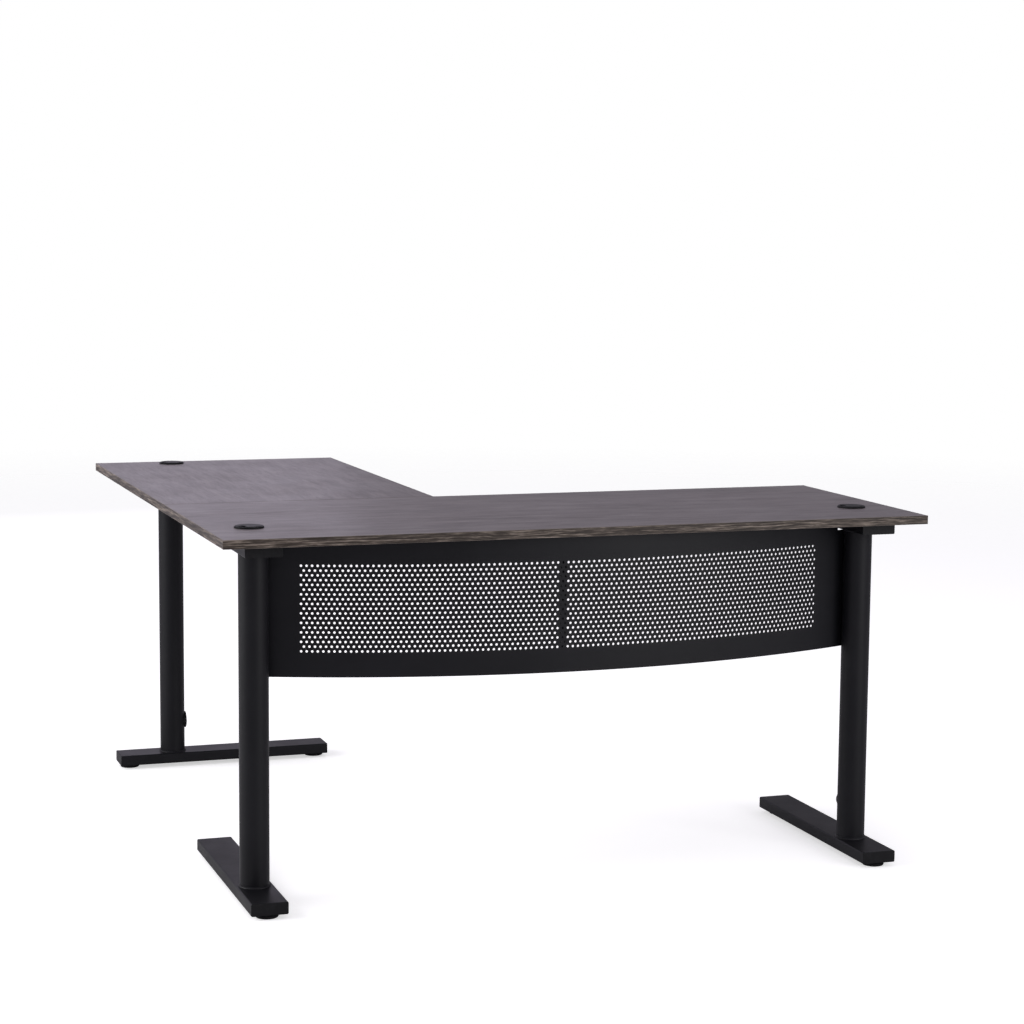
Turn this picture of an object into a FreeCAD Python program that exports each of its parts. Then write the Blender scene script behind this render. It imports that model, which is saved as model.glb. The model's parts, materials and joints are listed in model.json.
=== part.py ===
import FreeCAD, Part
import math
import os
import Sketcher

# L-shaped corner desk: two laminate tops on three T-legs with a bowed modesty panel.
# Millimetres and degrees. Desk coordinates start at the outer corner of the L on the floor:
# X along the main top, Y from the visitor side to the user side, Z up. The exported origin is
# the bottom centre of the whole desk, so every desk coordinate is moved by half the L's size.
# Leg coordinates start on the floor under the outer end of the foot bar, with Y along the bar.

SIZES = {
    "main_length": 1500,
    "top_depth": 600,
    "return_length": 900,
    "desk_height": 750,
    "board_thickness": 18,
    "band_thickness": 2,
    "band_arris": 0.6,
    "leg_inset": 90,
    "main_foot_inset": 6,
    "return_foot_inset": 34,
    "tube_width": 75,
    "tube_height": 25,
    "tube_wall": 2,
    "tube_corner": 3,
    "foot_length": 524,
    "arm_length": 480,
    "arm_inset": 40,
    "foot_clearance": 9,
    "column_inset": 135,
    "column_radius": 30,
    "column_wall": 1.5,
    "weld_size": 4,
    "port_height": 77,
    "port_hole_radius": 17,
    "bushing_radius": 20,
    "bushing_face": 32.5,
    "bushing_sleeve_radius": 16.8,
    "bushing_bore_radius": 13,
    "bushing_depth": 10.5,
    "cap_flange": 2,
    "cap_plug_depth": 12,
    "cap_plug_gap": 0.2,
    "cap_edge_radius": 0.8,
    "arm_screw_inset": 25,
    "arm_screw_offset": 22,
    "arm_hole_radius": 3.5,
    "arm_access_radius": 7,
    "arm_screw_radius": 3,
    "arm_screw_length": 14,
    "arm_screw_head_radius": 6,
    "arm_screw_head_height": 4,
    "insert_radius": 5,
    "insert_length": 12,
    "insert_hole_depth": 13,
    "insert_bore_radius": 3.1,
    "window_radius": 24,
    "window_reach": 35,
    "glide_inset": 27.5,
    "glide_radius": 23,
    "glide_height": 6.2,
    "glide_chamfer": 1.5,
    "glide_head_radius": 7,
    "glide_head_bottom": 2.2,
    "glide_head_top": 4,
    "glide_gap": 0.3,
    "stud_radius": 4,
    "stud_top": 28,
    "stud_hex_circumradius": 7.5,
    "stud_hex_bottom": 6.5,
    "stud_hex_height": 1.3,
    "glide_nut_radius": 5.5,
    "glide_nut_bore": 4.1,
    "glide_nut_length": 15,
    "glide_nut_flange_radius": 8,
    "glide_nut_flange": 1,
    "grommet_hole_radius": 25.6,
    "grommet_sleeve_radius": 25.4,
    "grommet_bore_radius": 23.2,
    "grommet_sleeve_depth": 16,
    "grommet_flange_radius": 30,
    "grommet_flange_edge": 2.2,
    "grommet_flange_height": 4,
    "grommet_step_radius": 25,
    "grommet_step_height": 1.5,
    "lid_radius": 24.7,
    "lid_gap": 0.2,
    "lid_top": 4.5,
    "lid_skirt_radius": 22.9,
    "lid_skirt_wall": 1.5,
    "lid_skirt_depth": 8,
    "lid_slot_width": 16,
    "lid_slot_start": 11,
    "main_grommet_offset": 35,
    "return_grommet_x": 180,
    "return_grommet_inset": 50,
    "panel_bottom": 451,
    "panel_height": 280,
    "panel_bow": 124,
    "panel_front_inset": 44,
    "panel_overlap": 14,
    "panel_sheet": 1.2,
    "panel_lip": 12,
    "panel_notch_width": 23,
    "panel_notch_height": 27,
    "tab_thickness": 3,
    "tab_height": 40,
    "tab_length": 66,
    "tab_inner_end": 20,
    "tab_gap": 0.6,
    "tab_block_start": 30,
    "tab_block_width": 14,
    "tab_block_depth": 6,
    "weld_stud_radius": 2.5,
    "weld_stud_length": 12,
    "weld_stud_inset": 28,
    "weld_stud_spacing": 170,
    "stud_hole_radius": 3,
    "stud_nut_circumradius": 4.6,
    "stud_nut_height": 4,
    "stud_nut_bore": 2.6,
    "post_radius": 8,
    "post_wall": 1.5,
    "post_behind_panel": 126,
    "post_bottom": 460,
    "post_plate_length": 60,
    "post_plate_width": 40,
    "plate_thickness": 3,
    "post_screw_offset": 22,
    "standoff_radius": 5,
    "standoff_flange_radius": 11,
    "standoff_flange": 2,
    "standoff_margin": 27,
    "standoff_screw_radius": 2.5,
    "standoff_screw_length": 26,
    "standoff_screw_head_radius": 4.8,
    "standoff_screw_head_height": 3,
    "standoff_bore_radius": 2.6,
    "joining_plate_length": 100,
    "joining_plate_width": 40,
    "joining_screw_x": 10,
    "joining_screw_y": 32,
    "wood_screw_radius": 2,
    "wood_screw_length": 16,
    "wood_screw_head_radius": 4,
    "wood_screw_head_height": 2.5,
    "pilot_radius": 2.1,
    "pilot_depth": 14,
    "plate_hole_radius": 2.4,
}

doc = FreeCAD.newDocument("corner_desk")
sheet = doc.addObject("Spreadsheet::Sheet", "sizes")
for row, (alias, number) in enumerate(SIZES.items(), start=1):
    sheet.set(f"A{row}", alias)
    sheet.set(f"B{row}", str(number))
    sheet.setAlias(f"B{row}", alias)
doc.recompute()

Vector = FreeCAD.Vector
X_AXIS = Vector(1, 0, 0)
Y_AXIS = Vector(0, 1, 0)
Z_AXIS = Vector(0, 0, 1)
# Turns a piece drawn upright so that its own +Z points along the named direction.
ALONG_Y = FreeCAD.Rotation(X_AXIS, -90)
AGAINST_Y = FreeCAD.Rotation(X_AXIS, 90)
DOWN = FreeCAD.Rotation(X_AXIS, 180)
UPRIGHT = FreeCAD.Rotation()
CUT_MARGIN = 1.0

parts = []


def size(expression):
    """The number that an expression of sheet cells comes to."""
    return float(sheet.evalExpression(expression))


def bind(thing, prop, expression):
    """Ties one property to the sheet; every alias in the expression is a cell."""
    words = []
    word = ""
    for letter in expression + " ":
        if letter.isalnum() or letter in "_.":
            word += letter
            continue
        words.append("sizes." + word if word in SIZES else word)
        words.append(letter)
        word = ""
    thing.setExpression(prop, "".join(words).strip())


def keep(thing, label, placement=None):
    """Names a finished sub-part and puts it in its place."""
    thing.Label = label
    if placement is not None:
        thing.Placement = placement
    parts.append(thing)
    return thing


def desk(x, y, z, rotation=UPRIGHT):
    """A placement from desk coordinates."""
    half_x = size("main_length") / 2
    half_y = (size("top_depth") + size("return_length")) / 2
    return FreeCAD.Placement(Vector(x - half_x, y - half_y, z), rotation)


def inside(outer, x, y, z, rotation=UPRIGHT):
    """A placement given in the coordinates of another placement."""
    return outer.multiply(FreeCAD.Placement(Vector(x, y, z), rotation))


# ---- modelling helpers ---------------------------------------------------------------------


def new_body(name):
    return doc.addObject("PartDesign::Body", name + "_body")


def new_sketch(body, plane):
    sketch = body.newObject("Sketcher::SketchObject", body.Name + "_sketch")
    support = next(f for f in body.Origin.OriginFeatures if f.Role == plane)
    sketch.AttachmentSupport = (support, [""])
    sketch.MapMode = "FlatFace"
    return sketch


def outline(body, plane, corners):
    """A sketch of one closed outline; each corner is two expressions."""
    sketch = new_sketch(body, plane)
    points = [Vector(size(x), size(y), 0) for x, y in corners]
    count = len(points)
    for i in range(count):
        sketch.addGeometry(Part.LineSegment(points[i], points[(i + 1) % count]))
    for i in range(count):
        sketch.addConstraint(Sketcher.Constraint("Coincident", i, 2, (i + 1) % count, 1))
    for i, (x, y) in enumerate(corners):
        for kind, expression, number in (("DistanceX", x, points[i].x), ("DistanceY", y, points[i].y)):
            index = sketch.addConstraint(Sketcher.Constraint(kind, -1, 1, i, 1, number))
            bind(sketch, f"Constraints[{index}]", expression)
    return sketch


def circles(body, rings):
    """A sketch of circles on the XY plane; each ring is x, y and radius as expressions."""
    sketch = new_sketch(body, "XY_Plane")
    for i, (x, y, radius) in enumerate(rings):
        centre = Vector(size(x), size(y), 0)
        sketch.addGeometry(Part.Circle(centre, Z_AXIS, size(radius)))
        for kind, expression, number in (("DistanceX", x, centre.x), ("DistanceY", y, centre.y)):
            index = sketch.addConstraint(Sketcher.Constraint(kind, -1, 1, i, 3, number))
            bind(sketch, f"Constraints[{index}]", expression)
        index = sketch.addConstraint(Sketcher.Constraint("Radius", i, size(radius)))
        bind(sketch, f"Constraints[{index}]", radius)
    return sketch


def rectangle(width, depth):
    """Corner expressions of a rectangle centred on the origin."""
    return [(f"-({width})/2", f"-({depth})/2"), (f"({width})/2", f"-({depth})/2"),
            (f"({width})/2", f"({depth})/2"), (f"-({width})/2", f"({depth})/2")]


def pad(body, sketch, length):
    feature = body.newObject("PartDesign::Pad", body.Name + "_pad")
    feature.Profile = sketch
    bind(feature, "Length", length)
    return feature


def pocket_up(body, sketch, depth):
    """Cuts from the XY plane upwards, and checks that something was removed."""
    doc.recompute()
    before = body.Shape.Volume
    feature = body.newObject("PartDesign::Pocket", body.Name + "_pocket")
    feature.Profile = sketch
    feature.Reversed = True
    bind(feature, "Length", depth)
    doc.recompute()
    if body.Shape.Volume >= before:
        raise ValueError(f"{body.Name}: the pocket cut nothing")
    return feature


def revolve(body, corners, angle=None):
    """Turns an outline on the XZ plane about Z, by 360 degrees or by an expression."""
    sketch = outline(body, "XZ_Plane", corners)
    feature = body.newObject("PartDesign::Revolution", body.Name + "_revolution")
    feature.Profile = sketch
    feature.ReferenceAxis = (sketch, ["V_Axis"])
    if angle is None:
        feature.Angle = 360
    else:
        feature.Midplane = True
        bind(feature, "Angle", angle)
    return feature


def bore(body, radius, length, x, y, z, rotation=UPRIGHT):
    """Drills one round hole into a body, in the body's own coordinates."""
    feature = body.newObject("PartDesign::SubtractiveCylinder", body.Name + "_bore")
    bind(feature, "Radius", radius)
    bind(feature, "Height", length)
    feature.Placement = FreeCAD.Placement(Vector(x, y, z), rotation)
    return feature


def slot_box(body, length, width, height, x, y, z):
    """Cuts one box, given by its lowest corner in the body's own coordinates."""
    feature = body.newObject("PartDesign::SubtractiveBox", body.Name + "_slot")
    bind(feature, "Length", length)
    bind(feature, "Width", width)
    bind(feature, "Height", height)
    feature.Placement = FreeCAD.Placement(Vector(x, y, z), UPRIGHT)
    return feature


def dress(body, kind, radius, chosen):
    """Fillets or chamfers the edges of a body that a test chooses."""
    doc.recompute()
    names = [f"Edge{i}" for i, edge in enumerate(body.Shape.Edges, start=1) if chosen(edge)]
    base = body.Tip
    feature = body.newObject("PartDesign::" + kind, body.Name + "_" + kind.lower())
    feature.Base = (base, names)
    bind(feature, "Radius" if kind == "Fillet" else "Size", radius)
    doc.recompute()
    return feature


def along(edge, axis):
    """True for a straight edge parallel to an axis."""
    if len(edge.Vertexes) != 2 or edge.Curve.TypeId != "Part::GeomLine":
        return False
    step = edge.Vertexes[1].Point - edge.Vertexes[0].Point
    return step.cross(axis).Length < 1e-6 * step.Length


def cylinder(radius, height, placement=None):
    thing = doc.addObject("Part::Cylinder", "cylinder")
    bind(thing, "Radius", radius)
    bind(thing, "Height", height)
    if placement is not None:
        thing.Placement = placement
    return thing


def box(length, width, height, placement=None):
    thing = doc.addObject("Part::Box", "box")
    bind(thing, "Length", length)
    bind(thing, "Width", width)
    bind(thing, "Height", height)
    if placement is not None:
        thing.Placement = placement
    return thing


def cut(base, tool):
    thing = doc.addObject("Part::Cut", "cut")
    thing.Base = base
    thing.Tool = tool
    return thing


def fuse(first, second):
    thing = doc.addObject("Part::Fuse", "fuse")
    thing.Base = first
    thing.Tool = second
    return thing


def group(label, master, placements):
    """One node of identical separate solids, copied from a master object."""
    doc.recompute()
    thing = doc.addObject("Part::Feature", label)
    copies = []
    for placement in placements:
        copy = master.Shape.copy()
        copy.Placement = placement.multiply(master.Placement)
        copies.append(copy)
    thing.Shape = Part.Compound(copies)
    return keep(thing, label)


def screw(radius, length, head_radius, head_height):
    """A screw with its head below Z = 0 and its shank above."""
    shank = cylinder(radius, length)
    head = cylinder(head_radius, head_height)
    bind(head, "Placement.Base.z", f"-{head_height}")
    return fuse(shank, head)


def sleeve(outer_radius, inner_radius, length):
    return cut(cylinder(outer_radius, length), cylinder(inner_radius, length))


# ---- where the repeated pieces stand -------------------------------------------------------

FOOT_TOP = size("foot_clearance + tube_height")
BOARD_BOTTOM = size("desk_height - board_thickness")
ARM_BOTTOM = size("desk_height - board_thickness - tube_height")
L_DEPTH = size("top_depth + return_length")
COLUMN_Y = size("main_foot_inset + column_inset")

LEGS = {
    "main_left": desk(size("leg_inset"), size("main_foot_inset"), 0),
    "main_right": desk(size("main_length - leg_inset"), size("main_foot_inset"), 0),
    "return": desk(size("return_foot_inset"), L_DEPTH - size("leg_inset"), 0,
                   FreeCAD.Rotation(Z_AXIS, -90)),
}
# Each grommet: X and Y in desk coordinates, and the bearing of its cable slot.
GROMMETS = {
    "main_left": (size("leg_inset"), COLUMN_Y + size("main_grommet_offset"), 215),
    "main_right": (size("main_length - leg_inset"), COLUMN_Y + size("main_grommet_offset"), 165),
    "return": (size("return_grommet_x"), L_DEPTH - size("return_grommet_inset"), 180),
}
JOINING_PLATE_X = (60, 300, 540)
GLIDE_Y = {"outer": size("glide_inset"), "inner": size("foot_length - glide_inset")}


def arm_screw_spots():
    """The four screw places of an arm, in leg coordinates."""
    first = size("arm_inset + arm_screw_inset")
    last = size("arm_inset + arm_length - arm_screw_inset")
    offset = size("arm_screw_offset")
    return [(x, y) for x in (-offset, offset) for y in (first, last)]


def arm_screw_places(height):
    return [inside(leg, x, y, height) for leg in LEGS.values() for x, y in arm_screw_spots()]


# ---- tops ----------------------------------------------------------------------------------


def make_board(label, length, depth, corner, grommets, inserts, pilots):
    """A laminated core; hole places are desk coordinates, the corner is its lowest one."""
    body = new_body(label)
    corners = [("0", "0"), (length, "0"), (length, depth), ("0", depth)]
    pad(body, outline(body, "XY_Plane", corners), "board_thickness")
    for places, radius, hole_depth in (
            (grommets, "grommet_hole_radius", "board_thickness"),
            (inserts, "insert_radius", "insert_hole_depth"),
            (pilots, "pilot_radius", "pilot_depth")):
        rings = [(str(x - corner[0]), str(y - corner[1]), radius) for x, y in places]
        pocket_up(body, circles(body, rings), hole_depth)
    return keep(body, label, desk(corner[0], corner[1], BOARD_BOTTOM))


def desk_spots(names):
    """Desk coordinates of the arm screws of the named legs."""
    spots = []
    corner = desk(0, 0, 0)
    for name in names:
        for x, y in arm_screw_spots():
            point = LEGS[name].multVec(Vector(x, y, 0)) - corner.Base
            spots.append((point.x, point.y))
    return spots


def joining_screw_spots(side):
    """Desk coordinates of the joining screws, on the main (-1) or the return (1) side."""
    y = size("top_depth") + side * size("joining_screw_y")
    offset = size("joining_screw_x")
    return [(x + dx, y) for x in JOINING_PLATE_X for dx in (-offset, offset)]


POST_X = size("main_length / 2")
POST_Y = size("panel_front_inset + post_behind_panel")
POST_SCREW_SPOTS = [(POST_X + side * size("post_screw_offset"), POST_Y) for side in (-1, 1)]
BAND = size("band_thickness")

make_board("main_top_board", "main_length - 2*band_thickness", "top_depth - 2*band_thickness",
           (BAND, BAND), [GROMMETS[name][:2] for name in ("main_left", "main_right")],
           desk_spots(("main_left", "main_right")), joining_screw_spots(-1) + POST_SCREW_SPOTS)
make_board("return_top_board", "top_depth - 2*band_thickness", "return_length - 2*band_thickness",
           (BAND, size("top_depth") + BAND), [GROMMETS["return"][:2]],
           desk_spots(("return",)), joining_screw_spots(1))


def band_strip(length, placement):
    """An edge strip along X with its outer face at Y = 0 and its two outer arrises broken."""
    strip = box(length, "band_thickness", "board_thickness")
    doc.recompute()
    chamfer = doc.addObject("Part::Chamfer", "band_strip")
    chamfer.Base = strip
    arris = size("band_arris")
    chamfer.Edges = [(i, arris, arris) for i, edge in enumerate(strip.Shape.Edges, start=1)
                     if along(edge, X_AXIS) and abs(edge.CenterOfMass.y) < CUT_MARGIN / 2]
    chamfer.Placement = placement
    return chamfer


def make_edge_band(label, length, depth, x, y):
    """Four strips round one top, whose outer corner is at desk x, y."""
    end = f"{depth} - 2*band_thickness"
    quarter = [FreeCAD.Rotation(Z_AXIS, angle) for angle in (0, 90, 180, 270)]
    far_x = x + size(length)
    far_y = y + size(depth)
    strips = [band_strip(length, desk(x, y, BOARD_BOTTOM, quarter[0])),
              band_strip(end, desk(far_x, y + BAND, BOARD_BOTTOM, quarter[1])),
              band_strip(length, desk(far_x, far_y, BOARD_BOTTOM, quarter[2])),
              band_strip(end, desk(x, far_y - BAND, BOARD_BOTTOM, quarter[3]))]
    compound = doc.addObject("Part::Compound", label)
    compound.Links = strips
    return keep(compound, label)


make_edge_band("main_edge_band", "main_length", "top_depth", 0, 0)
make_edge_band("return_edge_band", "top_depth", "return_length", 0, size("top_depth"))

group("board_inserts", sleeve("insert_radius", "insert_bore_radius", "insert_length"),
      arm_screw_places(BOARD_BOTTOM))
group("arm_screws", screw("arm_screw_radius", "arm_screw_length", "arm_screw_head_radius",
                          "arm_screw_head_height"),
      arm_screw_places(BOARD_BOTTOM - size("tube_wall")))


# ---- legs ----------------------------------------------------------------------------------


def make_tube(name, length):
    """A rectangular tube along its own Z, as long as the expression less two cap flanges."""
    body = new_body(name)
    length = f"{length} - 2*cap_flange"
    pad(body, outline(body, "XY_Plane", rectangle("tube_width", "tube_height")), length)
    dress(body, "Fillet", "tube_corner", lambda edge: along(edge, Z_AXIS))
    hollow = rectangle("tube_width - 2*tube_wall", "tube_height - 2*tube_wall")
    pocket_up(body, outline(body, "XY_Plane", hollow), length)
    return body


# Inside a tube's body: its own Y points down when the tube lies along a leg, Z runs along it.
WALL_CUT = "tube_height / 2"
HALF_TUBE = size("tube_height / 2")


def make_foot(name, leg):
    body = make_tube(name + "_foot", "foot_length")
    for y in GLIDE_Y.values():
        bore(body, "glide_nut_radius", WALL_CUT, 0, CUT_MARGIN, y - size("cap_flange"), ALONG_Y)
    middle = size("foot_clearance + tube_height / 2")
    return keep(body, name + "_foot", inside(leg, 0, size("cap_flange"), middle, ALONG_Y))


def make_arm(name, leg):
    """The arm under the top: screw holes with wider holes below them for the screwdriver,
    the mouth of the column and the window for the cables."""
    body = make_tube(name + "_arm", "arm_length")
    start = size("arm_inset + cap_flange")
    for x, y in arm_screw_spots():
        bore(body, "arm_hole_radius", WALL_CUT, x, -HALF_TUBE, y - start, ALONG_Y)
        bore(body, "arm_access_radius", WALL_CUT, x, 0, y - start, ALONG_Y)
    column = size("column_inset") - start
    bore(body, "column_radius - column_wall", WALL_CUT, 0, 0, column, ALONG_Y)
    for reach in (0, size("window_reach")):
        bore(body, "window_radius", WALL_CUT, 0, -HALF_TUBE, column + reach, ALONG_Y)
    slot_box(body, "2*window_radius", WALL_CUT, "window_reach",
             -size("window_radius"), -HALF_TUBE, column)
    middle = size("desk_height - board_thickness - tube_height / 2")
    return keep(body, name + "_arm", inside(leg, 0, start, middle, ALONG_Y))


COLUMN_HEIGHT = "desk_height - board_thickness - 2*tube_height - foot_clearance"


def make_column(name, leg):
    """The round post, with its cable port near the floor."""
    body = new_body(name + "_column")
    rings = [("0", "0", "column_radius"), ("0", "0", "column_radius - column_wall")]
    pad(body, circles(body, rings), COLUMN_HEIGHT)
    bore(body, "port_hole_radius", f"column_radius + {CUT_MARGIN}", 0, 0, size("port_height"),
         ALONG_Y)
    return keep(body, name + "_column", inside(leg, 0, size("column_inset"), FOOT_TOP))


def make_weld_beads(name, leg):
    """Fillet welds: one round the foot of the column and one under the arm."""
    cone = doc.addObject("Part::Cone", "weld_cone")
    bind(cone, "Radius1", "column_radius + weld_size")
    bind(cone, "Radius2", "column_radius")
    bind(cone, "Height", "weld_size")
    bead = cut(cone, cylinder("column_radius", "weld_size"))
    y = size("column_inset")
    return group(name + "_weld_beads", bead,
                 [inside(leg, 0, y, FOOT_TOP), inside(leg, 0, y, ARM_BOTTOM, DOWN)])


def make_bushing(name, leg):
    """The round cable outlet that snaps into the column near the floor."""
    flange = cylinder("bushing_radius", "bushing_face")
    column = cylinder("column_radius", "4*bushing_radius")
    bind(column, "Placement.Base.y", "2*bushing_radius")
    column.Placement.Rotation = AGAINST_Y
    saddle = cut(flange, column)
    neck = cylinder("bushing_sleeve_radius", "bushing_depth")
    bind(neck, "Placement.Base.z", "bushing_face - bushing_depth")
    body = cut(fuse(saddle, neck), cylinder("bushing_bore_radius", "bushing_face"))
    z = FOOT_TOP + size("port_height")
    return keep(body, name + "_cable_bushing", inside(leg, 0, size("column_inset"), z, ALONG_Y))


def make_end_cap():
    """A moulded plug for a tube end: flange at Z = 0, hollow plug towards +Z."""
    body = new_body("end_cap")
    pad(body, outline(body, "XY_Plane", rectangle("tube_width", "tube_height")), "cap_flange")
    dress(body, "Fillet", "tube_corner", lambda edge: along(edge, Z_AXIS))
    dress(body, "Fillet", "cap_edge_radius", lambda edge: edge.BoundBox.ZMax < CUT_MARGIN / 2)
    side = "2*(tube_wall + cap_plug_gap)"
    plug = rectangle(f"tube_width - {side}", f"tube_height - {side}")
    pad(body, outline(body, "XY_Plane", plug), "cap_flange + cap_plug_depth")
    wall = "2*(2*tube_wall + cap_plug_gap)"
    slot_box(body, f"tube_width - {wall}", f"tube_height - {wall}", "cap_plug_depth",
             -size(f"tube_width - {wall}") / 2, -size(f"tube_height - {wall}") / 2,
             size("cap_flange"))
    return body


END_CAP = make_end_cap()


def make_end_caps(name, leg):
    foot_z = size("foot_clearance + tube_height / 2")
    arm_z = size("desk_height - board_thickness - tube_height / 2")
    arm_end = size("arm_inset + arm_length")
    places = [inside(leg, 0, 0, foot_z, ALONG_Y),
              inside(leg, 0, size("foot_length"), foot_z, AGAINST_Y),
              inside(leg, 0, size("arm_inset"), arm_z, ALONG_Y),
              inside(leg, 0, arm_end, arm_z, AGAINST_Y)]
    return group(name + "_end_caps", END_CAP, places)


def make_glide(name, place):
    """A levelling glide: a threaded stud whose head swivels in the round pad it stands on."""
    revolved = new_body(name + "_stud")
    revolve(revolved, [("0", "glide_head_bottom"), ("glide_head_radius", "glide_head_bottom"),
                       ("glide_head_radius", "glide_head_top"), ("stud_radius", "glide_head_top"),
                       ("stud_radius", "stud_top - glide_chamfer"),
                       ("stud_radius - glide_chamfer", "stud_top"), ("0", "stud_top")])
    # The thin hexagon above the pad is where a spanner turns the stud.
    hexagon = doc.addObject("Part::Prism", name + "_hexagon")
    hexagon.Polygon = 6
    bind(hexagon, "Circumradius", "stud_hex_circumradius")
    bind(hexagon, "Height", "stud_hex_height")
    bind(hexagon, "Placement.Base.z", "stud_hex_bottom")
    keep(fuse(revolved, hexagon), name + "_stud", place)
    glide = new_body(name + "_pad")
    floor = "glide_head_bottom - glide_gap"
    roof = "glide_head_top + glide_gap"
    pocket = "glide_head_radius + glide_gap"
    neck = "stud_radius + glide_gap"
    revolve(glide, [("0", "0"), ("glide_radius - glide_chamfer", "0"),
                    ("glide_radius", "glide_chamfer"),
                    ("glide_radius", "glide_height - glide_chamfer"),
                    ("glide_radius - glide_chamfer", "glide_height"), (neck, "glide_height"),
                    (neck, roof), (pocket, roof), (pocket, floor), ("0", floor)])
    keep(glide, name + "_pad", place)


def glide_nut():
    """The threaded nut pressed into the foot, with its flange below the tube."""
    flange = sleeve("glide_nut_flange_radius", "glide_nut_bore", "glide_nut_flange")
    barrel = sleeve("glide_nut_radius", "glide_nut_bore", "glide_nut_length")
    bind(barrel, "Placement.Base.z", "glide_nut_flange")
    return fuse(flange, barrel)


for leg_name, leg_place in LEGS.items():
    make_foot(leg_name, leg_place)
    make_column(leg_name, leg_place)
    make_arm(leg_name, leg_place)
    make_end_caps(leg_name, leg_place)
    make_weld_beads(leg_name, leg_place)
    make_bushing(leg_name, leg_place)
    for end_name, glide_y in GLIDE_Y.items():
        make_glide(f"{leg_name}_{end_name}_glide", inside(leg_place, 0, glide_y, 0))

NUT_Z = size("foot_clearance - glide_nut_flange")
group("glide_nuts", glide_nut(),
      [inside(leg, 0, y, NUT_Z) for leg in LEGS.values() for y in GLIDE_Y.values()])


# ---- grommets ------------------------------------------------------------------------------


def make_grommet_liner(name, place):
    """The liner: a sleeve through the board under a bevelled flange with a seat for the lid."""
    body = new_body(name + "_grommet_liner")
    bevel = "grommet_flange_height - grommet_flange_edge"
    revolve(body, [("grommet_bore_radius", "-grommet_sleeve_depth"),
                   ("grommet_sleeve_radius", "-grommet_sleeve_depth"),
                   ("grommet_sleeve_radius", "0"), ("grommet_flange_radius", "0"),
                   ("grommet_flange_radius", "grommet_flange_edge"),
                   (f"grommet_flange_radius - ({bevel})", "grommet_flange_height"),
                   ("grommet_step_radius", "grommet_flange_height"),
                   ("grommet_step_radius", "grommet_step_height"),
                   ("grommet_bore_radius", "grommet_step_height")])
    return keep(body, name + "_grommet_liner", place)


def make_grommet_lid(name, place, bearing):
    """The lift-out lid, with a skirt and an open slot at its rim for the cables."""
    body = new_body(name + "_grommet_lid")
    seat = "grommet_step_height + lid_gap"
    inner = "lid_skirt_radius - lid_skirt_wall"
    edge = "lid_top - grommet_flange_height + lid_gap"
    revolve(body, [("0", seat), (inner, seat), (inner, "-lid_skirt_depth"),
                   ("lid_skirt_radius", "-lid_skirt_depth"), ("lid_skirt_radius", seat),
                   ("lid_radius", seat), ("lid_radius", "grommet_flange_height"),
                   (f"lid_radius - ({edge})", "lid_top"), ("0", "lid_top")])
    doc.recompute()
    height = size("lid_skirt_depth + lid_top") + CUT_MARGIN
    bore(body, "lid_slot_width / 2", str(height), size("lid_slot_start + lid_slot_width / 2"), 0,
         -size("lid_skirt_depth"))
    slot_box(body, "lid_radius", "lid_slot_width", str(height),
             size("lid_slot_start + lid_slot_width / 2"), -size("lid_slot_width / 2"),
             -size("lid_skirt_depth"))
    turned = inside(place, 0, 0, 0, FreeCAD.Rotation(Z_AXIS, bearing))
    return keep(body, name + "_grommet_lid", turned)


for grommet_name, (grommet_x, grommet_y, slot_bearing) in GROMMETS.items():
    grommet_place = desk(grommet_x, grommet_y, size("desk_height"))
    make_grommet_liner(grommet_name, grommet_place)
    make_grommet_lid(grommet_name, grommet_place, slot_bearing)


# ---- joint between the two tops ------------------------------------------------------------


def make_plate(length, width, holes):
    """A flat steel plate centred on the origin, with screw holes at the given places."""
    body = new_body("plate")
    pad(body, outline(body, "XY_Plane", rectangle(length, width)), "plate_thickness")
    rings = [(str(x), str(y), "plate_hole_radius") for x, y in holes]
    pocket_up(body, circles(body, rings), "plate_thickness")
    return body


PLATE_Z = BOARD_BOTTOM - size("plate_thickness")
plate_holes = [(x * size("joining_screw_x"), y * size("joining_screw_y"))
               for x in (-1, 1) for y in (-1, 1)]
group("joining_plates", make_plate("joining_plate_width", "joining_plate_length", plate_holes),
      [desk(x, size("top_depth"), PLATE_Z) for x in JOINING_PLATE_X])
WOOD_SCREW = screw("wood_screw_radius", "wood_screw_length", "wood_screw_head_radius",
                   "wood_screw_head_height")
group("joining_screws", WOOD_SCREW,
      [desk(x, y, PLATE_Z) for x, y in joining_screw_spots(-1) + joining_screw_spots(1)])


# ---- modesty panel -------------------------------------------------------------------------
# The sheet is part of an upright cylinder that bows towards the visitor side. Its ends reach
# panel_overlap behind the inner sides of the columns, and its middle is panel_front_inset
# behind the front edge.

HALF_CHORD = "(main_length / 2 - leg_inset - column_radius + panel_overlap)"
PANEL_RADIUS = f"(({HALF_CHORD})^2 + panel_bow^2) / (2*panel_bow)"
BOW_RADIUS = size(PANEL_RADIUS)
END_ANGLE = math.degrees(math.asin(size(HALF_CHORD) / BOW_RADIUS))
PANEL_CENTRE_Y = size("panel_front_inset") + BOW_RADIUS
PANEL_TOP = size("panel_bottom + panel_height")


def panel_point(arc_from_middle, depth):
    """A place on the panel: arc length from its middle, and depth behind its front face."""
    turn = arc_from_middle / BOW_RADIUS
    radius = BOW_RADIUS - depth
    x = POST_X + radius * math.sin(turn)
    return x, PANEL_CENTRE_Y - radius * math.cos(turn), math.degrees(turn)


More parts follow.
